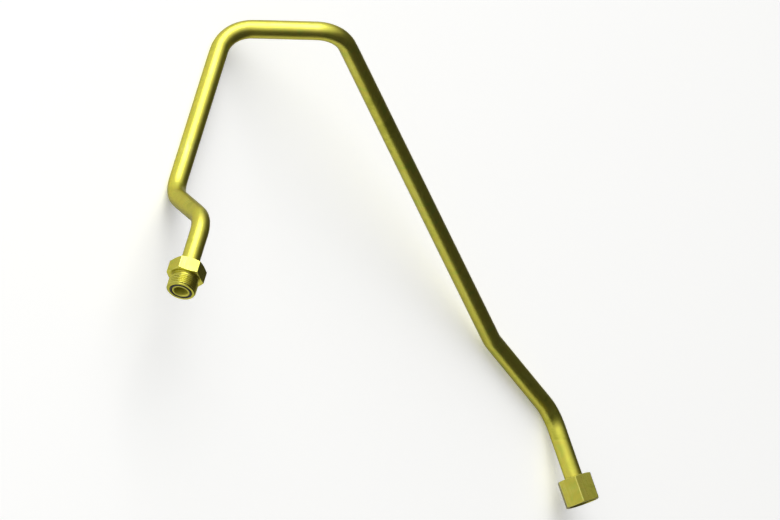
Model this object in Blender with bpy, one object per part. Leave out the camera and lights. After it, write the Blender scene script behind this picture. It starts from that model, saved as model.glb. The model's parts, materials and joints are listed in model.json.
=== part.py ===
# Hydraulic tube line: a bent steel tube with a brazed face-seal male end and a captive swivel nut.
# Metres, +Z up. The line lies on a flat floor as it comes to rest, with the floor at Z = 0.

from math import ceil, cos, pi, radians, sin, tan

import bmesh
import bpy
import numpy as np
from mathutils import Matrix, Vector

MM = 0.001

# Tube: 5/8 in outside diameter, bent on a 1 1/4 in centre-line radius
TUBE_OD = 15.875 * MM
TUBE_WALL = 2.108 * MM
BEND_RADIUS = 31.75 * MM

# Straight tube left between the bends, from the male end to the nut end
MALE_END_RUN = 34.0 * MM
JOG_RUN = 54.0 * MM
RISER_RUN = 136.0 * MM
TOP_RUN = 55.0 * MM
LONG_RUN = 404.0 * MM
KICK_RUN = 95.0 * MM
NUT_END_RUN = 44.1 * MM

# Bend angles, in degrees. The jog's two bends are equal, so the runs beside it stay parallel.
JOG_BEND_ANGLE = 51.5
FIRST_TOP_BEND_ANGLE = 72.0
SECOND_TOP_BEND_ANGLE = 64.5
KICK_BEND_ANGLE = 9.5
NUT_END_BEND_ANGLE = 52.5

# Turn of the tube about its own axis before each bend, in degrees
JOG_RETURN_TURN_ANGLE = 180.0
FIRST_TOP_TURN_ANGLE = 62.0
SECOND_TOP_TURN_ANGLE = 79.0
KICK_TURN_ANGLE = 175.0
NUT_END_TURN_ANGLE = 97.0

# Clearances: between brazed or resting pieces, and round the nut that turns
SEAT_GAP = 0.30 * MM
RUNNING_GAP = 0.30 * MM

# Sleeve brazed to the tube inside the nut
BARREL_WALL = 1.55 * MM
BARREL_SETBACK = 0.80 * MM
SHOULDER_WIDTH = 1.25 * MM
FLANGE_LENGTH = 8.40 * MM
SLEEVE_WEB = 3.50 * MM
SLEEVE_CHAMFER = 0.50 * MM

# Thread, 1 in outside diameter. Both fittings are blanks for it here, without its helix.
FLANGE_GAP = 0.35 * MM
THREAD_DEPTH = 1.0125 * MM
MALE_THREAD_ALLOWANCE = 0.05 * MM
RELIEF_DEPTH = 0.25 * MM

# Hexagons, 1 1/8 in across flats on both fittings
HEX_WALL = 1.5875 * MM
HEX_FACE_INSET = 0.20 * MM
HEX_CHAMFER_ANGLE = 20.0

# Swivel nut, from its rear face to its mouth
NUT_LENGTH = 24.10 * MM
NUT_BACK_WALL = 4.60 * MM
NUT_RELIEF_LENGTH = 4.20 * MM
NUT_REAR_CHAMFER = 0.60 * MM
NUT_PHASE_ANGLE = 30.0

# Male end, from the hexagon's rear face to the sealing face
MALE_HEX_LENGTH = 12.50 * MM
MALE_WEB = 3.50 * MM
SPIGOT_LENGTH = 13.60 * MM
UNDERCUT_LENGTH = 2.40 * MM
SPIGOT_CHAMFER = 1.10 * MM
BORE_CHAMFER = 0.50 * MM
MALE_PHASE_ANGLE = -4.0

# O-ring in the male end's face
RING_SECTION = 1.78 * MM
RING_PROUD = 0.45 * MM
FACE_LIP = 1.67 * MM

# Facets
TUBE_SIDES = 28
DEGREES_PER_BEND_STEP = 6.0
TURNED_SIDES = 48
RING_SECTION_SIDES = 10
HEXAGON = 6

# Side of the tube's first run that faces the floor, in that run's own frame
LYING_SIDE = Vector((1.0, 0.0, 0.0))

# Radii that follow from the sizes above, outwards from the tube
TUBE_R = TUBE_OD / 2
BORE_R = TUBE_R - TUBE_WALL
SOCKET_R = TUBE_R + SEAT_GAP
BARREL_R = SOCKET_R + BARREL_WALL
NUT_REAR_BORE_R = BARREL_R + RUNNING_GAP
FLANGE_R = NUT_REAR_BORE_R + SHOULDER_WIDTH
THREAD_MINOR_R = FLANGE_R + FLANGE_GAP
THREAD_MAJOR_R = THREAD_MINOR_R + THREAD_DEPTH
HEX_APOTHEM = THREAD_MAJOR_R + HEX_WALL
HEX_CORNER_R = HEX_APOTHEM / cos(pi / HEXAGON)
SPIGOT_R = THREAD_MAJOR_R - MALE_THREAD_ALLOWANCE
UNDERCUT_R = SPIGOT_R - THREAD_DEPTH - RELIEF_DEPTH
NUT_RELIEF_R = THREAD_MAJOR_R + RELIEF_DEPTH

# Lengths that follow: how deep the tube sits in each fitting
MALE_SOCKET_DEPTH = MALE_HEX_LENGTH - MALE_WEB
MALE_INSERTION = MALE_SOCKET_DEPTH - SEAT_GAP
BARREL_LENGTH = NUT_BACK_WALL + RUNNING_GAP - BARREL_SETBACK
SLEEVE_LENGTH = BARREL_LENGTH + FLANGE_LENGTH
SLEEVE_SOCKET_DEPTH = SLEEVE_LENGTH - SLEEVE_WEB
SLEEVE_INSERTION = SLEEVE_SOCKET_DEPTH - SEAT_GAP

# The O-ring's groove
RING_CENTRE_R = BORE_R + FACE_LIP + SEAT_GAP + RING_SECTION / 2
GROOVE_DEPTH = RING_SECTION + SEAT_GAP - RING_PROUD


def clear_scene():
    for old in list(bpy.data.objects):
        bpy.data.objects.remove(old, do_unlink=True)


def make_material(name, colour, metallic, roughness):
    material = bpy.data.materials.new(name)
    material.use_nodes = True
    shader = material.node_tree.nodes["Principled BSDF"]
    shader.inputs["Base Color"].default_value = (*colour, 1.0)
    shader.inputs["Metallic"].default_value = metallic
    shader.inputs["Roughness"].default_value = roughness
    material.diffuse_color = (*colour, 1.0)
    return material


def add_object(name, points, faces, material=None):
    mesh = bpy.data.meshes.new(name)
    mesh.from_pydata(points, [], faces)
    shell = bmesh.new()
    shell.from_mesh(mesh)
    bmesh.ops.recalc_face_normals(shell, faces=shell.faces)
    shell.to_mesh(mesh)
    shell.free()
    part = bpy.data.objects.new(name, mesh)
    bpy.context.collection.objects.link(part)
    if material:
        mesh.materials.append(material)
        mesh.shade_smooth()
        mesh.set_sharp_from_angle(angle=radians(30))
    return part


def grid_faces(rows, columns):
    # Quads of a grid that closes on itself both ways: round each row, and from the last row to the first
    faces = []
    for row in range(rows):
        below = (row + 1) % rows
        for column in range(columns):
            beside = (column + 1) % columns
            faces.append((row * columns + column, row * columns + beside,
                          below * columns + beside, below * columns + column))
    return faces


def turned(name, profile, sides, material=None):
    # A closed (radius, height) profile turned about Z. Each profile point makes one ring.
    points = []
    for radius, height in profile:
        for side in range(sides):
            angle = 2 * pi * side / sides
            points.append((radius * cos(angle), radius * sin(angle), height))
    return add_object(name, points, grid_faces(len(profile), sides), material)


def mill_hexagon(part, low, high):
    # Cuts the six flats between two heights, with a ring whose hole is the hexagon
    outside = 2 * HEX_CORNER_R
    profile = [(HEX_CORNER_R, low), (outside, low), (outside, high), (HEX_CORNER_R, high)]
    cutter = turned(part.name + "_flats", profile, HEXAGON)
    cutter.display_type = "WIRE"
    cutter.hide_render = True
    cutter.parent = part
    cut = part.modifiers.new("flats", "BOOLEAN")
    cut.operation = "DIFFERENCE"
    cut.solver = "EXACT"
    cut.object = cutter


def hexagon_cone(face_height, direction):
    # Profile points of the chamfer on a hexagon's end face: the face's rim, and the cone past the corners
    rim = HEX_APOTHEM - HEX_FACE_INSET
    outside = HEX_CORNER_R + HEX_FACE_INSET
    drop = (outside - rim) * tan(radians(HEX_CHAMFER_ANGLE))
    return (rim, face_height), (outside, face_height + direction * drop)


# The route of a tube bender: each station is a frame on the centre line, with Z along the tube
def tube_stations():
    frame = Matrix.Identity(4)
    turned_so_far = 0.0
    stations = [frame.copy()]
    bends = [
        (MALE_INSERTION + MALE_END_RUN, 0.0, JOG_BEND_ANGLE),
        (JOG_RUN, JOG_RETURN_TURN_ANGLE, JOG_BEND_ANGLE),
        (RISER_RUN, FIRST_TOP_TURN_ANGLE, FIRST_TOP_BEND_ANGLE),
        (TOP_RUN, SECOND_TOP_TURN_ANGLE, SECOND_TOP_BEND_ANGLE),
        (LONG_RUN, KICK_TURN_ANGLE, KICK_BEND_ANGLE),
        (KICK_RUN, NUT_END_TURN_ANGLE, NUT_END_BEND_ANGLE),
    ]
    for run, turn, angle in bends:
        turned_so_far += turn
        frame = frame @ Matrix.Translation((0, 0, run)) @ Matrix.Rotation(radians(turn), 4, "Z")
        untwist = Matrix.Rotation(-radians(turned_so_far), 4, "Z")
        stations.append(frame @ untwist)
        steps = ceil(angle / DEGREES_PER_BEND_STEP)
        step = (Matrix.Translation((BEND_RADIUS, 0, 0))
                @ Matrix.Rotation(radians(angle / steps), 4, "Y")
                @ Matrix.Translation((-BEND_RADIUS, 0, 0)))
        for _ in range(steps):
            frame = frame @ step
            stations.append(frame @ untwist)
    last_run = NUT_END_RUN + BARREL_SETBACK + SLEEVE_INSERTION
    stations.append(stations[-1] @ Matrix.Translation((0, 0, last_run)))
    return stations


def bent_tube(stations, material):
    # The outer skin runs from the first station to the last, and the bore's skin comes back
    points = []
    path = [(station, TUBE_R) for station in stations]
    path += [(station, BORE_R) for station in reversed(stations)]
    for station, radius in path:
        for side in range(TUBE_SIDES):
            angle = 2 * pi * side / TUBE_SIDES
            points.append(station @ Vector((radius * cos(angle), radius * sin(angle), 0)))
    return add_object("bent_tube", points, grid_faces(len(path), TUBE_SIDES), material)


def male_connector(material):
    # Heights run from the hexagon's rear face, where the tube enters, to the sealing face
    face = MALE_HEX_LENGTH + SPIGOT_LENGTH
    rear_rim, rear_cone = hexagon_cone(0.0, 1)
    front_rim, front_cone = hexagon_cone(MALE_HEX_LENGTH, -1)
    groove_inner = RING_CENTRE_R - RING_SECTION / 2 - SEAT_GAP
    groove_outer = RING_CENTRE_R + RING_SECTION / 2 + SEAT_GAP
    undercut_end = MALE_HEX_LENGTH + UNDERCUT_LENGTH
    thread_start = undercut_end + SPIGOT_R - UNDERCUT_R
    profile = [
        (SOCKET_R, 0.0), rear_rim, rear_cone, front_cone, front_rim,
        (UNDERCUT_R, MALE_HEX_LENGTH), (UNDERCUT_R, undercut_end), (SPIGOT_R, thread_start),
        (SPIGOT_R, face - SPIGOT_CHAMFER), (SPIGOT_R - SPIGOT_CHAMFER, face),
        (groove_outer, face), (groove_outer, face - GROOVE_DEPTH),
        (groove_inner, face - GROOVE_DEPTH), (groove_inner, face),
        (BORE_R + BORE_CHAMFER, face), (BORE_R, face - BORE_CHAMFER),
        (BORE_R, MALE_SOCKET_DEPTH), (SOCKET_R, MALE_SOCKET_DEPTH),
    ]
    part = turned("male_connector", profile, TURNED_SIDES, material)
    mill_hexagon(part, -HEX_WALL, MALE_HEX_LENGTH + RELIEF_DEPTH)
    return part


def face_seal_ring(material):
    # An O-ring that stands a little proud of the sealing face
    height = MALE_HEX_LENGTH + SPIGOT_LENGTH + RING_PROUD - RING_SECTION / 2
    profile = []
    for side in range(RING_SECTION_SIDES):
        angle = 2 * pi * side / RING_SECTION_SIDES
        profile.append((RING_CENTRE_R + RING_SECTION / 2 * cos(angle),
                        height + RING_SECTION / 2 * sin(angle)))
    return turned("face_seal_ring", profile, TURNED_SIDES, material)


def braze_sleeve(material):
    # Heights run from the nut's rear face. The flange's back seats on the shoulder inside the nut.
    rear = BARREL_SETBACK
    shoulder = rear + BARREL_LENGTH
    front = rear + SLEEVE_LENGTH
    socket_end = rear + SLEEVE_SOCKET_DEPTH
    profile = [
        (SOCKET_R, rear), (BARREL_R - SLEEVE_CHAMFER, rear), (BARREL_R, rear + SLEEVE_CHAMFER),
        (BARREL_R, shoulder), (FLANGE_R, shoulder), (FLANGE_R, front - SLEEVE_CHAMFER),
        (FLANGE_R - SLEEVE_CHAMFER, front), (BORE_R + SLEEVE_CHAMFER, front),
        (BORE_R, front - SLEEVE_CHAMFER), (BORE_R, socket_end), (SOCKET_R, socket_end),
    ]
    return turned("braze_sleeve", profile, TURNED_SIDES, material)


def swivel_nut(material):
    rear_rim, rear_cone = hexagon_cone(0.0, 1)
    front_rim, front_cone = hexagon_cone(NUT_LENGTH, -1)
    relief_end = NUT_BACK_WALL + NUT_RELIEF_LENGTH
    thread_start = relief_end + NUT_RELIEF_R - THREAD_MINOR_R
    mouth = NUT_LENGTH - (NUT_RELIEF_R - THREAD_MINOR_R)
    profile = [
        (NUT_REAR_BORE_R + NUT_REAR_CHAMFER, 0.0), rear_rim, rear_cone, front_cone, front_rim,
        (NUT_RELIEF_R, NUT_LENGTH), (THREAD_MINOR_R, mouth), (THREAD_MINOR_R, thread_start),
        (NUT_RELIEF_R, relief_end), (NUT_RELIEF_R, NUT_BACK_WALL),
        (NUT_REAR_BORE_R, NUT_BACK_WALL), (NUT_REAR_BORE_R, NUT_REAR_CHAMFER),
    ]
    part = turned("swivel_nut", profile, TURNED_SIDES, material)
    mill_hexagon(part, -HEX_WALL, NUT_LENGTH + HEX_WALL)
    return part


def solid_points(part, depsgraph):
    # Corners of the finished solid's triangles, in world space
    evaluated = part.evaluated_get(depsgraph)
    mesh = evaluated.to_mesh()
    mesh.calc_loop_triangles()
    corners = [[evaluated.matrix_world @ mesh.vertices[i].co for i in triangle.vertices]
               for triangle in mesh.loop_triangles]
    evaluated.to_mesh_clear()
    return np.array(corners)


def resting_matrix(parts):
    # Turns the assembly onto the flat it comes to rest on: the face of its convex hull that lies
    # straight below the centre of mass, on the side that LYING_SIDE names
    bpy.context.view_layer.update()
    depsgraph = bpy.context.evaluated_depsgraph_get()
    corners = np.concatenate([solid_points(part, depsgraph) for part in parts])
    volumes = np.einsum("ij,ij->i", corners[:, 0], np.cross(corners[:, 1], corners[:, 2])) / 6
    centre = Vector((volumes[:, None] * corners.sum(axis=1) / 4).sum(axis=0) / volumes.sum())
    hull = bmesh.new()
    for point in np.unique(corners.reshape(-1, 3).round(7), axis=0):
        hull.verts.new(point)
    bmesh.ops.convex_hull(hull, input=hull.verts)
    hull.normal_update()
    best_lean = -1.0
    for face in hull.faces:
        normal = face.normal
        foot = centre + normal * normal.dot(face.verts[0].co - centre)
        if normal.dot(LYING_SIDE) > best_lean and bmesh.geometry.intersect_face_point(face, foot):
            best_lean = normal.dot(LYING_SIDE)
            down = normal.copy()
    hull.free()
    upright = down.rotation_difference(Vector((0, 0, -1))).to_matrix()
    return upright, corners.reshape(-1, 3)


def lay_down(parts, stations):
    # The line from end to end lies along X seen from above, and the origin is below the assembly's middle
    upright, corners = resting_matrix(parts)
    end_to_end = upright @ (stations[-1].translation - stations[0].translation)
    heading = Matrix.Rotation(-np.arctan2(end_to_end.y, end_to_end.x), 3, "Z")
    turn = heading @ upright
    laid = corners @ np.array(turn).T
    low, high = laid.min(axis=0), laid.max(axis=0)
    lift = Vector((-(low[0] + high[0]) / 2, -(low[1] + high[1]) / 2, -low[2]))
    pose = bpy.data.objects.new("resting_pose", None)
    bpy.context.collection.objects.link(pose)
    pose.matrix_world = Matrix.Translation(lift) @ turn.to_4x4()
    for part in parts:
        part.parent = pose


clear_scene()
zinc = make_material("yellow_zinc", (0.46, 0.43, 0.07), 1.0, 0.38)
zinc_nut = make_material("yellow_zinc_nut", (0.44, 0.41, 0.07), 1.0, 0.36)
zinc_fitting = make_material("yellow_zinc_fitting", (0.45, 0.42, 0.07), 1.0, 0.36)
zinc_sleeve = make_material("yellow_zinc_sleeve", (0.42, 0.39, 0.07), 1.0, 0.40)
nitrile = make_material("black_nitrile", (0.012, 0.012, 0.012), 0.0, 0.55)

route = tube_stations()
line = bent_tube(route, zinc)
connector = male_connector(zinc_fitting)
seal = face_seal_ring(nitrile)
sleeve = braze_sleeve(zinc_sleeve)
nut = swivel_nut(zinc_nut)

male_place = (route[0] @ Matrix.Translation((0, 0, MALE_INSERTION)) @ Matrix.Rotation(pi, 4, "X")
              @ Matrix.Rotation(radians(MALE_PHASE_ANGLE), 4, "Z"))
nut_place = (route[-1] @ Matrix.Translation((0, 0, -SLEEVE_INSERTION - BARREL_SETBACK))
             @ Matrix.Rotation(radians(NUT_PHASE_ANGLE), 4, "Z"))
connector.matrix_world = male_place
seal.matrix_world = male_place
sleeve.matrix_world = nut_place
nut.matrix_world = nut_place
lay_down([line, connector, seal, sleeve, nut], route)
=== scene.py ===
import json
from math import atan2, ceil, cos, pi, radians, sin, tan

import bmesh
import bpy
import numpy as np
from mathutils import Matrix, Vector


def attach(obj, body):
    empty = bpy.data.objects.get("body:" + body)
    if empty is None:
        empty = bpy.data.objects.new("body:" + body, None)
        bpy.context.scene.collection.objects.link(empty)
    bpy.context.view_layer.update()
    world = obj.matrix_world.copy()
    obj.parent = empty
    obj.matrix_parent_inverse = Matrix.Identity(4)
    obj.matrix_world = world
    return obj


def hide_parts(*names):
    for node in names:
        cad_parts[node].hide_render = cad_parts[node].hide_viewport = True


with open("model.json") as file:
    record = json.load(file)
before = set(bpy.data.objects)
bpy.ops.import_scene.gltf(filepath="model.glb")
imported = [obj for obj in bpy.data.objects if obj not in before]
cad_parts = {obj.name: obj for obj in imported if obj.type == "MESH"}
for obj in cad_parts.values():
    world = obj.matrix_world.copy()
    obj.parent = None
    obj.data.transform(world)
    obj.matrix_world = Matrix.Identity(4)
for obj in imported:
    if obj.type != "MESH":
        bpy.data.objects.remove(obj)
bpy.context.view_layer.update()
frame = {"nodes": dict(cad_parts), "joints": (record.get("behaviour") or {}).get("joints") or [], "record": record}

mm = 0.001
weldDistance = 0.0001 * mm      # points of a piece this close become one
record = frame["record"]
print("frame loaded:", ", ".join(sorted(frame["nodes"])))


# Shared helpers

def hexColour(text):
    # sRGB hex to the linear values that Blender's sockets hold
    channels = [int(text[i:i + 2], 16) / 255 for i in (1, 3, 5)]
    return [c / 12.92 if c <= 0.04045 else ((c + 0.055) / 1.055) ** 2.4 for c in channels] + [1.0]


def addNode(tree, kind, settings=None, inputs=None, links=None):
    # One node with its settings, its socket values and the sockets that feed it
    node = tree.nodes.new("ShaderNode" + kind)
    for key, value in (settings or {}).items():
        setattr(node, key, value)
    for key, value in (inputs or {}).items():
        node.inputs[key].default_value = value
    for key, source in (links or {}).items():
        tree.links.new(source, node.inputs[key])
    return node


def ringFaces(rows, columns, closed=True, turnShift=0):
    # Quads between neighbouring rings. After each turn a helix meets itself turnShift rows further on.
    row = np.arange(rows if closed else rows - 1)[:, None]
    column = np.arange(columns)[None, :]
    beside = (column + 1) % columns
    hop = np.where(beside == 0, turnShift, 0)
    corners = [(row, column), (row + hop, beside), (row + 1 + hop, beside), (row + 1, column)]
    quads = np.stack([r % rows * columns + c for r, c in corners], axis=-1)
    if turnShift:
        quads = quads[np.broadcast_to(row + 1 + hop < rows, quads.shape[:2])]
    return quads.reshape(-1, 4)


pointMarks = ("edge", "flat", "root", "bore")     # from 0 to 1 at each point of a piece


def makePiece(name, points, faces, material, place, marks):
    # Points are in millimetres in the piece's own frame. Its material reads the marks at each point.
    mesh = bpy.data.meshes.new(name)
    placed = points * mm @ np.array(place.to_3x3()).T + np.array(place.translation)
    mesh.from_pydata(placed.tolist(), [], faces.tolist())
    onPart = marks.get("onPart", points)
    mesh.attributes.new("onPart", "FLOAT_VECTOR", "POINT").data.foreach_set("vector", onPart.ravel())
    for mark in pointMarks:
        values = np.broadcast_to(marks.get(mark, 0.0), len(points)).astype(float)
        mesh.attributes.new(mark, "FLOAT", "POINT").data.foreach_set("value", values.ravel())
    shell = bmesh.new()
    shell.from_mesh(mesh)
    bmesh.ops.remove_doubles(shell, verts=shell.verts, dist=weldDistance)
    bmesh.ops.recalc_face_normals(shell, faces=shell.faces)
    shell.to_mesh(mesh)
    shell.free()
    mesh.materials.append(material)
    mesh.shade_smooth()
    piece = bpy.data.objects.new(name, mesh)
    bpy.context.collection.objects.link(piece)
    return piece


def fittingPlace(node, axis):
    # A fitting's frame, read from its CAD solid: at its rear face, Z along it, X to a hexagon's corner
    axis = Vector(axis).normalized()
    corners = np.array([vertex.co for vertex in frame["nodes"][node].data.vertices])
    aside = axis.orthogonal().normalized()
    across = axis.cross(aside)
    flat = corners @ np.array([aside, across]).T
    middle = (flat.min(axis=0) + flat.max(axis=0)) / 2
    offset = flat - middle
    farthest = offset[np.hypot(offset[:, 0], offset[:, 1]).argmax()]
    rear = (corners @ np.array(axis)).min()
    toCorner = (aside * farthest[0] + across * farthest[1]).normalized()
    turn = Matrix((toCorner, axis.cross(toCorner), axis)).transposed().to_4x4()
    return Matrix.Translation(aside * middle[0] + across * middle[1] + axis * rear) @ turn


malePlace = fittingPlace("male_connector", next(
    mount["axis"] for mount in record["mounts"] if mount["name"] == "male_sealing_face"))
nutPlace = fittingPlace("swivel_nut", frame["joints"][0]["axis"])


# Yellow passivated zinc plating over steel. The dyed film gives a lemon to olive cast in soft patches,
# and what made the steel still shows through it: draw lines along the tube and the bar's flats, and fine
# rings where a lathe cut. Handling brightens edges and odd lines. Thread roots are darker and bores dull.

zincLook = {
    "lemon": "#C6C248",
    "olive": "#B0AE36",
    "straw": "#C4BA44",
    "green": "#B3BC45",
    "rubbed": "#D4D174",
    # a darker colour mixed into the thread's roots
    "darkerRoots": "#989238",
    "glancing": "#7E7828",  # the dyed film deepens where it is seen at a glancing angle
    "patchMm": 16.0,        # plating patches
    "speckMm": 0.9,         # matt speckle of the film, drawn coarser than the real 0.1 mm to show
    "speckDepthMm": 0.010,
    "lineMm": 0.45,         # draw lines, across
    "lineLengthMm": 40.0,   # draw lines, along
    "lineDepthMm": 0.012,
    "lineShade": 0.22,      # how far a draw line turns olive
    "ringMm": 0.40,         # turning marks, drawn at twice the real feed to show
    "scuffMm": 21.0,        # places rubbed bright in a rack or a hand
    "scuffShare": 0.55,
    "scuffPolish": 0.16,    # how much smoother a rubbed line is
    "roughness": 0.36,
    "roughnessSwing": 0.16,
    "boreRoughness": 0.34,  # how much rougher the bores are
    "boreFilm": 0.65,       # and how much of their metal a matt film hides
    "coat": 0.48,           # sealed top film
    "coatRoughness": 0.36,
}


def yellowZinc(name, grain, **changes):
    # Grain is "drawn" for lines alone, or "turned" for rings everywhere but on the flats. Most of a
    # noise lies between 0.3 and 0.7, which the ramp and the ranges follow.
    look = {**zincLook, **changes}
    material = bpy.data.materials.new(name)
    material.use_nodes = True
    tree = material.node_tree
    shader = tree.nodes["Principled BSDF"]
    onPart = addNode(tree, "Attribute", {"attribute_name": "onPart"}).outputs["Vector"]
    edge, flat, root, bore = (addNode(tree, "Attribute", {"attribute_name": mark}).outputs["Fac"]
                              for mark in pointMarks)

    drawnScale = (1 / look["lineMm"], 1 / look["lineMm"], 1 / look["lineLengthMm"])
    drawn = addNode(tree, "Mapping", inputs={"Scale": drawnScale}, links={"Vector": onPart})
    lines = addNode(tree, "TexNoise", inputs={"Scale": 1.0, "Detail": 3.0, "Roughness": 0.6},
                    links={"Vector": drawn.outputs["Vector"]}).outputs["Fac"]
    if grain == "turned":
        axes = addNode(tree, "SeparateXYZ", links={"Vector": onPart})
        across = addNode(tree, "CombineXYZ", links={"X": axes.outputs["X"], "Y": axes.outputs["Y"]})
        radius = addNode(tree, "VectorMath", {"operation": "LENGTH"},
                         links={0: across.outputs["Vector"]})
        section = addNode(tree, "CombineXYZ",
                          links={"X": radius.outputs["Value"], "Y": axes.outputs["Z"]})
        rings = addNode(tree, "TexNoise", inputs={"Scale": 1 / look["ringMm"], "Detail": 2.0},
                        links={"Vector": section.outputs["Vector"]}).outputs["Fac"]
        lines = addNode(tree, "Mix", links={"Factor": flat, 2: rings, 3: lines}).outputs[0]

    patches = addNode(tree, "TexNoise", inputs={
        "Scale": 1 / look["patchMm"], "Detail": 3.0, "Roughness": 0.55, "Distortion": 0.6},
        links={"Vector": onPart}).outputs["Fac"]
    specks = addNode(tree, "TexNoise", inputs={"Scale": 1 / look["speckMm"], "Detail": 2.0},
                     links={"Vector": onPart}).outputs["Fac"]

    film = addNode(tree, "ValToRGB", links={"Fac": patches})
    filmStops = {"olive": 0.30, "lemon": 0.44, "straw": 0.56, "green": 0.70}
    while len(film.color_ramp.elements) < len(filmStops):
        film.color_ramp.elements.new(0.5)
    for element, (colour, place) in zip(film.color_ramp.elements, filmStops.items()):
        element.position = place
        element.color = hexColour(look[colour])
    streaks = addNode(tree, "MapRange", inputs={
        "From Min": 0.3, "From Max": 0.7, "To Max": look["lineShade"]}, links={"Value": lines})
    streaked = addNode(tree, "Mix", {"data_type": "RGBA"}, {7: hexColour(look["olive"])},
                       {0: streaks.outputs["Result"], 6: film.outputs["Color"]})
    # Noise in four dimensions, so that the scuffs have places of their own and don't follow the patches
    touched = addNode(tree, "TexNoise", {"noise_dimensions": "4D"}, {
        "W": 3.0, "Scale": 1 / look["scuffMm"], "Detail": 2.0}, {"Vector": onPart}).outputs["Fac"]
    handled = addNode(tree, "MapRange", inputs={
        "From Min": 0.50, "From Max": 0.68, "To Max": look["scuffShare"]}, links={"Value": touched})
    hairlines = addNode(tree, "MapRange", inputs={"From Min": 0.50, "From Max": 0.60},
                        links={"Value": lines})
    scuffs = addNode(tree, "Math", {"operation": "MULTIPLY"},
                     links={0: handled.outputs["Result"], 1: hairlines.outputs["Result"]})
    rubbing = addNode(tree, "Math", {"operation": "MULTIPLY_ADD"},
                      links={0: edge, 1: specks, 2: scuffs.outputs["Value"]})
    rubbed = addNode(tree, "Mix", {"data_type": "RGBA"}, {7: hexColour(look["rubbed"])},
                     {0: rubbing.outputs["Value"], 6: streaked.outputs[2]})
    # The thread's roots are coloured darker, as far as the root mark reaches
    rootsDarkened = addNode(tree, "Mix", {"data_type": "RGBA"}, {7: hexColour(look["darkerRoots"])},
                     {0: root, 6: rubbed.outputs[2]})
    tree.links.new(rootsDarkened.outputs[2], shader.inputs["Base Color"])

    haze = addNode(tree, "Math", {"operation": "ADD"}, links={0: lines, 1: specks})
    halfSwing = look["roughnessSwing"] / 2
    roughness = addNode(tree, "MapRange", inputs={
        "From Min": 0.7, "From Max": 1.3, "To Min": look["roughness"] - halfSwing,
        "To Max": look["roughness"] + halfSwing}, links={"Value": haze.outputs["Value"]})
    polished = addNode(tree, "Math", {"operation": "MULTIPLY_ADD"}, {1: -look["scuffPolish"]},
                       {0: scuffs.outputs["Value"], 2: roughness.outputs["Result"]})
    rougher = addNode(tree, "Math", {"operation": "MULTIPLY_ADD"}, {1: look["boreRoughness"]},
                      {0: bore, 2: polished.outputs["Value"]})
    tree.links.new(rougher.outputs["Value"], shader.inputs["Roughness"])

    lined = addNode(tree, "Bump", inputs={"Distance": look["lineDepthMm"] * mm, "Strength": 1.0},
                    links={"Height": lines})
    speckled = addNode(tree, "Bump", inputs={"Distance": look["speckDepthMm"] * mm, "Strength": 1.0},
                       links={"Height": specks, "Normal": lined.outputs["Normal"]})
    tree.links.new(speckled.outputs["Normal"], shader.inputs["Normal"])
    bare = addNode(tree, "Math", {"operation": "MULTIPLY_ADD"}, {1: -look["boreFilm"], 2: 1.0},
                   {0: bore})
    tree.links.new(bare.outputs["Value"], shader.inputs["Metallic"])
    shader.inputs["Specular Tint"].default_value = hexColour(look["glancing"])
    shader.inputs["Coat Weight"].default_value = look["coat"]
    shader.inputs["Coat Roughness"].default_value = look["coatRoughness"]
    return material


# The bar's film lies a little smoother than the tube's, the nut's is darker, and filler metal sets dull
# and lumpy
zincOnTube = yellowZinc("yellowZincOnDrawnTube", "drawn")
zincOnFitting = yellowZinc("yellowZincOnTurnedFitting", "turned", roughness=0.33)
zincOnSleeve = yellowZinc("yellowZincOnTurnedSleeve", "turned", roughness=0.35)
zincOnNut = yellowZinc("yellowZincOnMilledNut", "turned", roughness=0.34, patchMm=12.0,
                       lemon="#B8B440", olive="#A4A230", straw="#B6AC3C", green="#A6AE3D")
zincOnBraze = yellowZinc("yellowZincOnBrazeFillet", "drawn", roughness=0.50, speckDepthMm=0.05,
                         lineMm=2.0, lineLengthMm=2.0, olive="#A79A3A", lemon="#BFB048")


# Moulded nitrile rubber: near black, matt, with a faint grey bloom that dulls its soft highlight

nitrileLook = {
    "black": "#141312",
    "bloom": "#262422",
    "bloomMm": 1.6,
    "pebbleMm": 0.25,       # the mould's fine texture
    "pebbleDepthMm": 0.01,
    "roughness": 0.56,
    "ior": 1.52,
}

nitrile = bpy.data.materials.new("mouldedBlackNitrile")
nitrile.use_nodes = True
tree = nitrile.node_tree
rubber = tree.nodes["Principled BSDF"]
onRing = addNode(tree, "Attribute", {"attribute_name": "onPart"}).outputs["Vector"]
bloom = addNode(tree, "TexNoise", inputs={"Scale": 1 / nitrileLook["bloomMm"], "Detail": 4.0},
                links={"Vector": onRing})
pebble = addNode(tree, "TexNoise", inputs={"Scale": 1 / nitrileLook["pebbleMm"]},
                 links={"Vector": onRing})
bloomed = addNode(tree, "Mix", {"data_type": "RGBA"},
                  {6: hexColour(nitrileLook["black"]), 7: hexColour(nitrileLook["bloom"])},
                  {0: bloom.outputs["Fac"]})
moulded = addNode(tree, "Bump", inputs={"Distance": nitrileLook["pebbleDepthMm"] * mm},
                  links={"Height": pebble.outputs["Fac"]})
tree.links.new(bloomed.outputs[2], rubber.inputs["Base Color"])
tree.links.new(moulded.outputs["Normal"], rubber.inputs["Normal"])
rubber.inputs["Roughness"].default_value = nitrileLook["roughness"]
rubber.inputs["IOR"].default_value = nitrileLook["ior"]
print("finishes made")


# The bent tube, as a bender makes it: straight runs in mm, and bends and turns in degrees

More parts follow.
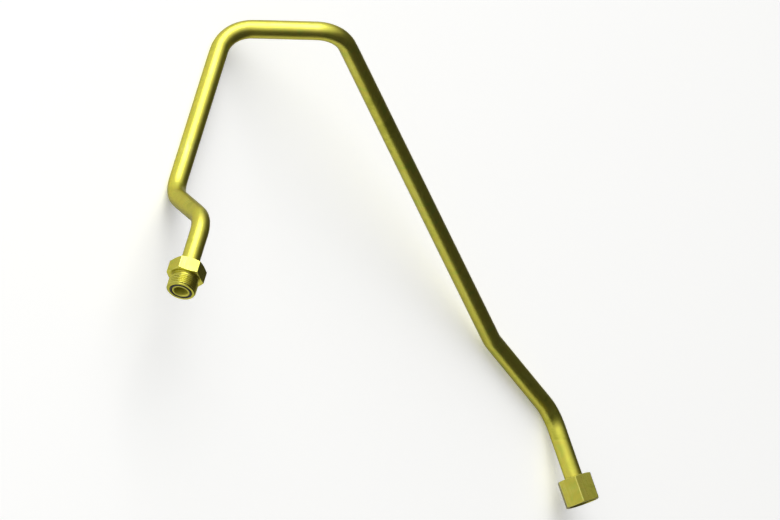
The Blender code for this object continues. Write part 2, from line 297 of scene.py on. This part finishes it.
tubeSizes = {
    "outside": 15.875,
    "wall": 2.108,
    "bendRadius": 31.75,
    "intoMaleEnd": 8.7,         # hidden in the male connector's socket
    "intoSleeve": 9.5,          # from the nut's rear face to the tube's end in the sleeve
    "bends": [                  # run before the bend, turn about the tube's axis, bend
        (34.0, 0.0, 51.5),
        (54.0, 180.0, 51.5),
        (136.0, 62.0, 72.0),
        (55.0, 79.0, 64.5),
        (404.0, 175.0, 9.5),
        (95.0, 97.0, 52.5),
    ],
    "lastRun": 44.1,
    "sides": 72,
    "stepMm": 1.5,              # between rings in a bend and just beside it
    "longStepMm": 15.0,         # between rings on a straight run
    "outerFlattening": 0.05,    # how far a bend's outside is drawn in, as a share of the radius
    "flatteningCurve": 1.5,     # higher keeps it nearer the outside
    "sideSwelling": 0.012,      # how far its sides swell
    "blendMm": 9.0,             # length over which a bend's oval dies away
    "fullOvalAngle": 30.0,      # a smaller bend is less oval
}

tubeRadius = tubeSizes["outside"] / 2
boreRadius = tubeRadius - tubeSizes["wall"]


def smoothStep(value):
    held = np.clip(value, 0, 1)
    return held * held * (3 - 2 * held)


def benderRoute():
    # Rings along the tube: each one's frame, the length of tube up to it, how oval it is, and the angle
    # round the tube at which the inside of its bend is
    bend, blend = tubeSizes["bendRadius"], tubeSizes["blendMm"]
    here = Matrix.Identity(4)
    length, turned, oval = 0.0, 0.0, 0.0
    rings = []

    def addRing(place, at, ringOval, inside):
        # Taking back the turns so far keeps the rings from twisting against each other
        rings.append((np.array(place @ Matrix.Rotation(-turned, 4, "Z")), at, ringOval, inside))

    def straight(run, nextOval, nextTurn):
        # Close rings beside the bends, where the oval dies away, and far apart on the rest of the run
        nonlocal here, length
        beside = np.arange(0, blend, tubeSizes["stepMm"])
        farApart = max(2, ceil((run - 2 * blend) / tubeSizes["longStepMm"]))
        for stop in (*beside, *np.linspace(blend, run - blend, farApart), *(run - beside[:0:-1])):
            nearBefore = stop < run / 2
            bendOval, away = (oval, stop) if nearBefore else (nextOval, run - stop)
            fade = bendOval * 0.5 * (1 - smoothStep(away / blend))
            addRing(here @ Matrix.Translation((0, 0, stop)), length + stop, fade,
                    turned if nearBefore else turned + nextTurn)
        length += run
        here = here @ Matrix.Translation((0, 0, run))

    hidden = tubeSizes["intoMaleEnd"]
    for run, turn, angle in tubeSizes["bends"]:
        nextOval = min(1.0, angle / tubeSizes["fullOvalAngle"])
        straight(hidden + run, nextOval, radians(turn))
        hidden = 0.0
        oval = nextOval
        turned += radians(turn)
        here = here @ Matrix.Rotation(radians(turn), 4, "Z")
        centre = here @ Matrix.Translation((bend, 0, 0))
        arc = bend * radians(angle)
        steps = ceil(arc / tubeSizes["stepMm"])
        for step in range(steps + 1):
            share = step / steps
            here = (centre @ Matrix.Rotation(radians(angle) * share, 4, "Y")
                    @ Matrix.Translation((-bend, 0, 0)))
            fromEnd = min(share, 1 - share) * arc
            addRing(here, length + arc * share, oval * (0.5 + 0.5 * smoothStep(fromEnd / blend)), turned)
        length += arc
    straight(tubeSizes["lastRun"] + tubeSizes["intoSleeve"], 0.0, 0.0)
    addRing(here, length, 0.0, turned)
    return [np.array(column) for column in zip(*rings)]


frames, lengths, ovals, insides = benderRoute()
around = np.arange(tubeSizes["sides"]) / tubeSizes["sides"] * 2 * pi


def tubeSkin(radius):
    # One skin of the tube. In a bend its outside is drawn in and its sides swell, as on a real bender.
    oval, inside = ovals[:, None], insides[:, None]
    fromInside = around[None, :] - inside
    outside = 0.5 - 0.5 * np.cos(fromInside)
    drawnIn = 1 - tubeSizes["outerFlattening"] * oval * outside ** tubeSizes["flatteningCurve"]
    x = radius * np.cos(fromInside) * drawnIn
    y = radius * np.sin(fromInside) * (1 + tubeSizes["sideSwelling"] * oval)
    u = x * np.cos(inside) - y * np.sin(inside)
    v = x * np.sin(inside) + y * np.cos(inside)
    local = np.stack([u, v, np.zeros_like(u), np.ones_like(u)], axis=-1)
    return np.einsum("rij,rcj->rci", frames, local)[..., :3]


def tubeLook(radius):
    # Where each point was on the straight tube, so that draw lines follow the bends
    x, y = radius * np.cos(around), radius * np.sin(around)
    return np.stack(np.broadcast_arrays(x, y, lengths[:, None]), axis=-1)


outer, inner = tubeSkin(tubeRadius), tubeSkin(boreRadius)[::-1]
tubePoints = np.concatenate([outer, inner])
tubeMarks = {
    "onPart": np.concatenate([tubeLook(tubeRadius), tubeLook(boreRadius)[::-1]]).reshape(-1, 3),
    "bore": np.repeat([0.0, 1.0], len(outer) * len(around)),
}

# The route starts in the male connector and is turned about its first run until it ends in the nut
routeStart = (malePlace @ Matrix.Translation((0, 0, tubeSizes["intoMaleEnd"] * mm))
              @ Matrix.Rotation(pi, 4, "X"))
toEnd = routeStart.inverted() @ nutPlace @ Vector((0, 0, tubeSizes["intoSleeve"] * mm))
routeEnd = frames[-1][:3, 3]
swing = atan2(toEnd.y, toEnd.x) - atan2(routeEnd[1], routeEnd[0])
tubePlace = routeStart @ Matrix.Rotation(swing, 4, "Z")
miss = (tubePlace @ Vector(routeEnd * mm) - routeStart @ toEnd).length / mm
print(f"tube: {len(frames)} rings, {lengths[-1]:.1f} mm long, {miss:.3f} mm from its seat in the sleeve")

tube = makePiece("tube_drawn", tubePoints.reshape(-1, 3), ringFaces(len(tubePoints), len(around)),
                 zincOnTube, tubePlace, tubeMarks)
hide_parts("bent_tube")
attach(tube, "line")


# Both fittings are cut from one hexagon bar and share a thread of 1 in, 14 per inch. Sizes are in mm.

barSizes = {
    "acrossFlats": 28.575,
    "faceInset": 0.20,          # flat rim of the hexagon's end face, inside the flats
    "chamferAngle": 20.0,       # degrees
    "cornerSharpness": 70.0,    # higher is a sharper hexagon corner
    "cornerWear": 1.6,          # degrees each side of a corner that handling brightens
    "edgeRound": 0.22,
    "flatInset": 0.1,           # a flat's draw lines stop this far inside its chamfers
    "flatDepth": 0.01,          # and this far under its face
    "boreDepth": 0.05,          # a bore's matt film reaches this far out from it
    "seatGap": 0.30,
    "threadPitch": 25.4 / 14,
    "threadDepth": 1.0125,
    "crestFlat": 0.125,         # as a share of the pitch
    "rootFlat": 0.25,
    "crestWear": 0.35,
    # how far the thread's roots take the darker root colour
    "rootDarkening": 0.7,
    "columns": 240,             # round a fitting
    "crowding": 0.105,          # higher brings them nearer the hexagon's corners
}

apothem = barSizes["acrossFlats"] / 2
socketRadius = tubeRadius + barSizes["seatGap"]
faceRim = apothem - barSizes["faceInset"]

# Columns round a fitting crowd towards the hexagon's corners, where the form turns fastest
evenly = np.arange(barSizes["columns"] // 6) * 6 / barSizes["columns"]
crowded = evenly - barSizes["crowding"] * np.sin(2 * pi * evenly)
columnAngles = np.concatenate([(side + crowded) * pi / 3 for side in range(6)])
toCorner = np.abs((columnAngles + pi / 6) % (pi / 3) - pi / 6)

# Six flats whose corners are slightly rounded, as drawn bar is
sharpness = barSizes["cornerSharpness"]
toFlats = [np.clip(np.cos(columnAngles - (side + 0.5) * pi / 3), 0, None) for side in range(6)]
hexRadius = apothem * sum(toFlat ** sharpness for toFlat in toFlats) ** (-1 / sharpness)
chamferDrop = (hexRadius - faceRim) * tan(radians(barSizes["chamferAngle"]))


def hexagonOutline(low, high):
    # The four corners of the hexagon's section, whose chamfers dip further at the hexagon's corners
    return [(faceRim, low), (hexRadius, low + chamferDrop),
            (hexRadius, high - chamferDrop), (faceRim, high)]


def roundedRows(outline, rounds, arcSteps=4, trimShare=0.35, holdShare=0.1, holdMm=0.09):
    # Rings of points from a section's corners. Each is rounded, and close rings beside it hold the round.
    corners = np.array([np.stack(np.broadcast_arrays(radius, height, hexRadius)[:2], axis=-1)
                        for radius, height in outline])
    rows, onRound = [], []
    for index, wanted in enumerate(rounds):
        corner = corners[index]
        if wanted == 0:
            rows.append(corner)
            onRound.append(0.0)
            continue
        before = corners[index - 1] - corner
        after = corners[(index + 1) % len(corners)] - corner
        lengthBefore = np.linalg.norm(before, axis=-1, keepdims=True)
        lengthAfter = np.linalg.norm(after, axis=-1, keepdims=True)
        before, after = before / lengthBefore, after / lengthAfter
        turn = pi - np.arccos(np.clip((before * after).sum(axis=-1, keepdims=True), -1, 1))
        room = np.minimum(lengthBefore, lengthAfter)
        trim = np.minimum(wanted * np.tan(turn / 2), trimShare * room)
        held = np.minimum(holdMm, holdShare * room)
        start, end = corner + before * trim, corner + after * trim
        rows.append(start + before * held)
        for step in range(arcSteps + 1):
            t = step / arcSteps
            rows.append((1 - t) ** 2 * start + 2 * t * (1 - t) * corner + t ** 2 * end)
        rows.append(end + after * held)
        onRound += [0.0] + [1.0] * (arcSteps + 1) + [0.0]
    return np.array(rows), np.array(onRound)


# Rows of a thread along one pitch from a crest, close together at the crest's and the root's corners
threadStops = np.array([0, 0.045, 0.083, 0.22, 0.355, 0.395, 0.5, 0.605, 0.645, 0.78, 0.917, 0.955])


def threadRows(low, high, blank, rootRadius, inside):
    # Rows along a right-hand helix between two heights. The blank's chamfers and reliefs cut it back.
    pitch, crestFlat = barSizes["threadPitch"], barSizes["crestFlat"]
    turns = ceil((high - low) / pitch) + 1
    crests = np.concatenate([threadStops + turn for turn in range(-1, turns + 1)])
    fromCrest = np.abs((crests + 0.5) % 1 - 0.5) * 2
    ridge = 1 - np.clip((fromCrest - crestFlat) / (1 - crestFlat - barSizes["rootFlat"]), 0, 1)
    height = np.clip(low + (crests[:, None] + columnAngles[None, :] / (2 * pi)) * pitch, low, high)
    cut = rootRadius + barSizes["threadDepth"] * ridge[:, None]
    limit = blank(height)
    radius = np.maximum(cut, limit) if inside else np.minimum(cut, limit)
    depth = ridge if inside else 1 - ridge
    return np.stack([radius, height], axis=-1), np.repeat(depth, len(columnAngles))


def turnedPiece(name, outline, rounds, material, place, hexSpan=None, thread=None):
    rows, onRound = roundedRows(outline, rounds)
    columns = len(columnAngles)
    faces = ringFaces(len(rows), columns, closed=thread is None)
    edge = np.repeat(onRound, columns)
    root = np.zeros(len(edge))
    if thread:
        cut, depth = threadRows(**thread)
        helix = ringFaces(len(cut), columns, closed=False, turnShift=len(threadStops))
        faces = np.concatenate([faces, helix + len(rows) * columns])
        rows = np.concatenate([rows, cut])
        edge = np.concatenate([edge, barSizes["crestWear"] * (1 - depth)])
        root = np.concatenate([root, barSizes["rootDarkening"] * depth])
    radius, height = rows[..., 0], rows[..., 1]
    points = np.stack([radius * np.cos(columnAngles), radius * np.sin(columnAngles), height], axis=-1)
    flat = np.zeros(radius.shape)
    if hexSpan:
        low, high = hexSpan
        inset = chamferDrop + barSizes["flatInset"]
        onFlat = radius > hexRadius - barSizes["flatDepth"]
        flat = (onFlat & (height > low + inset) & (height < high - inset)).astype(float)
        worn = np.exp(-(toCorner / radians(barSizes["cornerWear"])) ** 2)
        edge = np.maximum(edge, (flat * worn).ravel())
    bore = radius < boreRadius + barSizes["boreDepth"]
    marks = {"edge": edge, "root": root, "flat": flat.ravel(), "bore": bore.ravel()}
    return makePiece(name, points.reshape(-1, 3), faces, material, place, marks)


# Male connector, from the hexagon's rear face, where the tube goes in, to the sealing face

maleSizes = {
    "hexLength": 12.50,
    "spigotLength": 13.60,
    "threadOutside": 25.30,
    "undercutRadius": 11.3875,
    "undercutLength": 2.40,
    "spigotChamfer": 1.10,
    "socketDepth": 9.00,
    "boreChamfer": 0.50,
    "grooveInside": 7.4995,
    "grooveOutside": 9.8795,
    "grooveDepth": 1.63,
}

spigotRadius = maleSizes["threadOutside"] / 2
maleFace = maleSizes["hexLength"] + maleSizes["spigotLength"]
undercutEnd = maleSizes["hexLength"] + maleSizes["undercutLength"]
noseRadius = spigotRadius - maleSizes["spigotChamfer"]
lead = 0.07     # the helix stops this far inside the face's rim
tail = 0.10     # and starts this far up the undercut's slope
grooveFloor = maleFace - maleSizes["grooveDepth"]
grooveInside, grooveOutside = maleSizes["grooveInside"], maleSizes["grooveOutside"]
mouthChamfer, undercut = maleSizes["boreChamfer"], maleSizes["undercutRadius"]
maleOutline = [
    (noseRadius + lead, maleFace - lead), (noseRadius, maleFace),
    (grooveOutside, maleFace), (grooveOutside, grooveFloor),
    (grooveInside, grooveFloor), (grooveInside, maleFace),
    (boreRadius + mouthChamfer, maleFace), (boreRadius, maleFace - mouthChamfer),
    (boreRadius, maleSizes["socketDepth"]), (socketRadius, maleSizes["socketDepth"]), (socketRadius, 0.0),
    *hexagonOutline(0.0, maleSizes["hexLength"]),
    (undercut, maleSizes["hexLength"]), (undercut, undercutEnd), (undercut + tail, undercutEnd + tail),
]
edgeRound = barSizes["edgeRound"]
# How far each corner of the outline is rounded
maleRounds = [0, 0.1, 0.12, 0.2, 0.2, 0.12, 0.1, 0.1, 0.1, 0.1, 0.1, *[edgeRound] * 4, 0.3, 0.3, 0]


def maleBlank(height):
    # The threaded spigot before its thread: a 45 degree slope out of the undercut and one at the nose
    return np.minimum(np.minimum(undercut + height - undercutEnd, spigotRadius),
                      noseRadius + maleFace - height)


connector = turnedPiece("male_end_threaded", maleOutline, maleRounds, zincOnFitting, malePlace,
                        hexSpan=(0.0, maleSizes["hexLength"]),
                        thread={"low": undercutEnd + tail, "high": maleFace - lead, "blank": maleBlank,
                                "rootRadius": spigotRadius - barSizes["threadDepth"], "inside": False})
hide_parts("male_connector")
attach(connector, "line")


# O-ring in the face's groove, with the fine flash that its mould leaves inside and outside

ringSizes = {
    "section": 1.78,
    "proud": 0.45,
    "flash": 0.035,
    "sides": 32,
}

ringRadius = (grooveInside + grooveOutside) / 2
ringHeight = maleFace + ringSizes["proud"] - ringSizes["section"] / 2
roundSection = np.arange(ringSizes["sides"]) / ringSizes["sides"] * 2 * pi
onSeam = np.arange(ringSizes["sides"]) % (ringSizes["sides"] // 2) == 0
bulge = ringSizes["section"] / 2 + ringSizes["flash"] * onSeam
outwards = (ringRadius + bulge * np.cos(roundSection))[:, None]
upwards = (ringHeight + bulge * np.sin(roundSection))[:, None]
ringPoints = np.stack([outwards * np.cos(columnAngles), outwards * np.sin(columnAngles),
                       np.repeat(upwards, len(columnAngles), axis=1)], axis=-1)
seal = makePiece("o_ring", ringPoints.reshape(-1, 3), ringFaces(len(upwards), len(columnAngles)),
                 nitrile, malePlace, {})
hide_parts("face_seal_ring")
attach(seal, "line")


# Sleeve brazed to the tube inside the nut, measured from the nut's rear face

sleeveSizes = {
    "setback": 0.80,
    "barrelRadius": 9.7875,
    "shoulder": 4.90,
    "flangeRadius": 11.3375,
    "front": 13.30,
    "socketEnd": 9.80,
    "chamfer": 0.50,
    "edgeRound": 0.12,
}

barrel, flange = sleeveSizes["barrelRadius"], sleeveSizes["flangeRadius"]
rear, front, shoulder = sleeveSizes["setback"], sleeveSizes["front"], sleeveSizes["shoulder"]
bevel = sleeveSizes["chamfer"]
sleeveOutline = [
    (socketRadius, rear), (barrel - bevel, rear), (barrel, rear + bevel), (barrel, shoulder),
    (flange, shoulder), (flange, front - bevel), (flange - bevel, front),
    (boreRadius + bevel, front), (boreRadius, front - bevel),
    (boreRadius, sleeveSizes["socketEnd"]), (socketRadius, sleeveSizes["socketEnd"]),
]
sleeve = turnedPiece("sleeve_turned", sleeveOutline, [sleeveSizes["edgeRound"]] * len(sleeveOutline),
                     zincOnSleeve, nutPlace)
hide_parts("braze_sleeve")
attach(sleeve, "line")


# Swivel nut, from its rear face to its mouth

nutSizes = {
    "length": 24.10,
    "backWall": 4.60,
    "reliefLength": 4.20,
    "reliefRadius": 12.95,
    "threadInside": 11.6875,
    "rearBore": 10.0875,
    "rearChamfer": 0.60,
}

mouth, relief, backWall = nutSizes["length"], nutSizes["reliefRadius"], nutSizes["backWall"]
rearBore, rearChamfer = nutSizes["rearBore"], nutSizes["rearChamfer"]
reliefEnd = backWall + nutSizes["reliefLength"]
nutOutline = [
    (relief - tail, mouth - tail), (relief, mouth),
    *reversed(hexagonOutline(0.0, mouth)),
    (rearBore + rearChamfer, 0.0), (rearBore, rearChamfer), (rearBore, backWall),
    (relief, backWall), (relief, reliefEnd), (relief - tail, reliefEnd + tail),
]
nutRounds = [0, 0.1, *[edgeRound] * 4, 0.12, 0.12, 0.15, 0.25, 0.25, 0]


def nutBlank(height):
    # The nut's bore before its thread: it slopes in from the relief and out again at the mouth
    return np.maximum(np.maximum(relief + reliefEnd - height, nutSizes["threadInside"]),
                      relief - mouth + height)


nut = turnedPiece("nut_threaded", nutOutline, nutRounds, zincOnNut, nutPlace, hexSpan=(0.0, mouth),
                  thread={"low": reliefEnd + tail, "high": mouth - tail, "blank": nutBlank,
                          "rootRadius": nutSizes["threadInside"], "inside": True})
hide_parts("swivel_nut")
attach(nut, "nut")


# Braze fillets where the tube enters each fitting, plated with the rest

filletSizes = {
    # How far it runs along the tube and up the face, and the face's height in the fitting's frame
    "male_braze": {"along": 1.7, "up": 1.5, "height": 0.0, "place": malePlace},
    "sleeve_braze": {"along": 1.0, "up": 0.8, "height": sleeveSizes["setback"], "place": nutPlace},
}


def brazeFillet(name, along, up, height, place, steps=8, hollow=0.2, sunk=0.04, skin=0.01, buried=0.5):
    # A hollow ring between the tube and the face, a little uneven as filler metal sets. A lip of it is
    # buried in the socket, and its foot stands a thin skin proud of the tube.
    waver = 1 + 0.10 * np.sin(2 * columnAngles + 0.6) + 0.05 * np.sin(5 * columnAngles + 2.1)
    foot = tubeRadius + up * waver
    top = height - along * (1 + 0.08 * np.sin(3 * columnAngles + 1.0))
    rows = [(tubeRadius - sunk, height + buried), (socketRadius - sunk, height + buried),
            (socketRadius - sunk, height)]
    for t in np.arange(steps + 1) / steps:
        start, middle, end = (1 - t) ** 2, 2 * t * (1 - t), t ** 2
        rows.append((start * foot + middle * (tubeRadius + hollow * up) + end * (tubeRadius + skin),
                     start * height + middle * (height - hollow * along) + end * top))
    rows.append((tubeRadius - sunk, top))
    ring = [np.broadcast_arrays(radius, level, columnAngles) for radius, level in rows]
    points = np.array([np.stack([radius * np.cos(angles), radius * np.sin(angles), level], axis=-1)
                       for radius, level, angles in ring])
    fillet = makePiece(name, points.reshape(-1, 3), ringFaces(len(rows), len(columnAngles)),
                       zincOnBraze, place, {})
    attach(fillet, "line")


for name, sizes in filletSizes.items():
    brazeFillet(name, **sizes)
print("fittings made")


# Floor, light and camera

stageLook = {
    "floor": "#F8F8F6",
    "floorMetres": 40.0,
    "floorDrop": 0.0001,                # clears the tube, which is rounder here than its CAD facets
    "floorGlow": 0.27,                  # brings the floor up to white for the camera and the metal
    "lampFrom": (-0.66, 0.66, 0.36),    # the photo's light comes from the top left, low over the floor
    "lampMetres": 5.0,
    "lampWidth": 5.2,
    "lampHeight": 3.6,
    "lampWatts": 222.0,
    "skyFrom": (-0.74, 0.67, 0.09),
    "skyBright": 1.5,
    "skyDark": 0.07,
    "skyFull": 0.8,                     # cosine of the angle round skyFrom in which it is all bright
}

floor = bpy.data.meshes.new("floor")
half = stageLook["floorMetres"] / 2
floor.from_pydata([(-half, -half, 0), (half, -half, 0), (half, half, 0), (-half, half, 0)], [],
                  [(0, 1, 2, 3)])

# Matt pale paint: even and without gloss, so all it shows is the tube's soft shadow
floorPaint = bpy.data.materials.new("mattPalePaint")
floorPaint.use_nodes = True
tree = floorPaint.node_tree
paint = tree.nodes["Principled BSDF"]
paint.inputs["Base Color"].default_value = hexColour(stageLook["floor"])
paint.inputs["Roughness"].default_value = 1.0
paint.inputs["Specular IOR Level"].default_value = 0.0
path = addNode(tree, "LightPath").outputs
mirrored = addNode(tree, "Math", {"operation": "MAXIMUM"},
                   links={0: path["Is Glossy Ray"], 1: path["Is Transmission Ray"]})
seen = addNode(tree, "Math", {"operation": "MAXIMUM"},
               links={0: path["Is Camera Ray"], 1: mirrored.outputs["Value"]})
glow = addNode(tree, "Math", {"operation": "MULTIPLY"}, {1: stageLook["floorGlow"]},
               {0: seen.outputs["Value"]})
tree.links.new(glow.outputs["Value"], paint.inputs["Emission Strength"])
paint.inputs["Emission Color"].default_value = (1, 1, 1, 1)
floor.materials.append(floorPaint)
floorObject = bpy.data.objects.new("floor", floor)
floorObject.location.z = -stageLook["floorDrop"]
bpy.context.collection.objects.link(floorObject)

world = bpy.data.worlds.new("softStudio")
bpy.context.scene.world = world
world.use_nodes = True
sky = world.node_tree
ray = addNode(sky, "TexCoord").outputs["Generated"]
skyFrom = Vector(stageLook["skyFrom"]).normalized()
facing = addNode(sky, "VectorMath", {"operation": "DOT_PRODUCT"}, {1: skyFrom}, {0: ray})
strength = addNode(sky, "MapRange", {"interpolation_type": "SMOOTHSTEP"}, {
    "From Min": 0.0, "From Max": stageLook["skyFull"], "To Min": stageLook["skyDark"],
    "To Max": stageLook["skyBright"]}, {"Value": facing.outputs["Value"]})
sky.links.new(strength.outputs["Result"], sky.nodes["Background"].inputs["Strength"])
sky.nodes["Background"].inputs["Color"].default_value = (1, 1, 1, 1)

lampFrom = Vector(stageLook["lampFrom"]).normalized()
lamp = bpy.data.lights.new("softbox", "AREA")
lamp.shape = "RECTANGLE"
lamp.size = stageLook["lampWidth"]
lamp.size_y = stageLook["lampHeight"]
lamp.energy = stageLook["lampWatts"]
lampObject = bpy.data.objects.new("softbox", lamp)
lampObject.location = lampFrom * stageLook["lampMetres"]
lampObject.rotation_euler = lampFrom.to_track_quat("Z", "Y").to_euler()
bpy.context.collection.objects.link(lampObject)

# The photo looks down on the resting tube from its -X side, with the camera rolled onto its side
cameraLook = {
    "target": (0.012513, -0.011792, 0.035284),
    "azimuth": -72.208,     # from -Y towards +X
    "elevation": 31.186,
    "roll": 84.272,
    "distance": 18.4924,
    "lens": 1000.0,
    "clipEnd": 60.0,
}

azimuth, elevation = radians(cameraLook["azimuth"]), radians(cameraLook["elevation"])
toCamera = Vector((sin(azimuth) * cos(elevation), -cos(azimuth) * cos(elevation), sin(elevation)))
camera = bpy.data.cameras.new("camera")
camera.lens = cameraLook["lens"]
camera.clip_end = cameraLook["clipEnd"]
cameraObject = bpy.data.objects.new("camera", camera)
level = toCamera.to_track_quat("Z", "Y").to_matrix().to_4x4()
standpoint = Vector(cameraLook["target"]) + toCamera * cameraLook["distance"]
roll = Matrix.Rotation(radians(cameraLook["roll"]), 4, "Z")
cameraObject.matrix_world = Matrix.Translation(standpoint) @ level @ roll
bpy.context.collection.objects.link(cameraObject)
bpy.context.scene.camera = cameraObject
bpy.context.scene.view_settings.view_transform = "Standard"
print("stage, light and camera set")
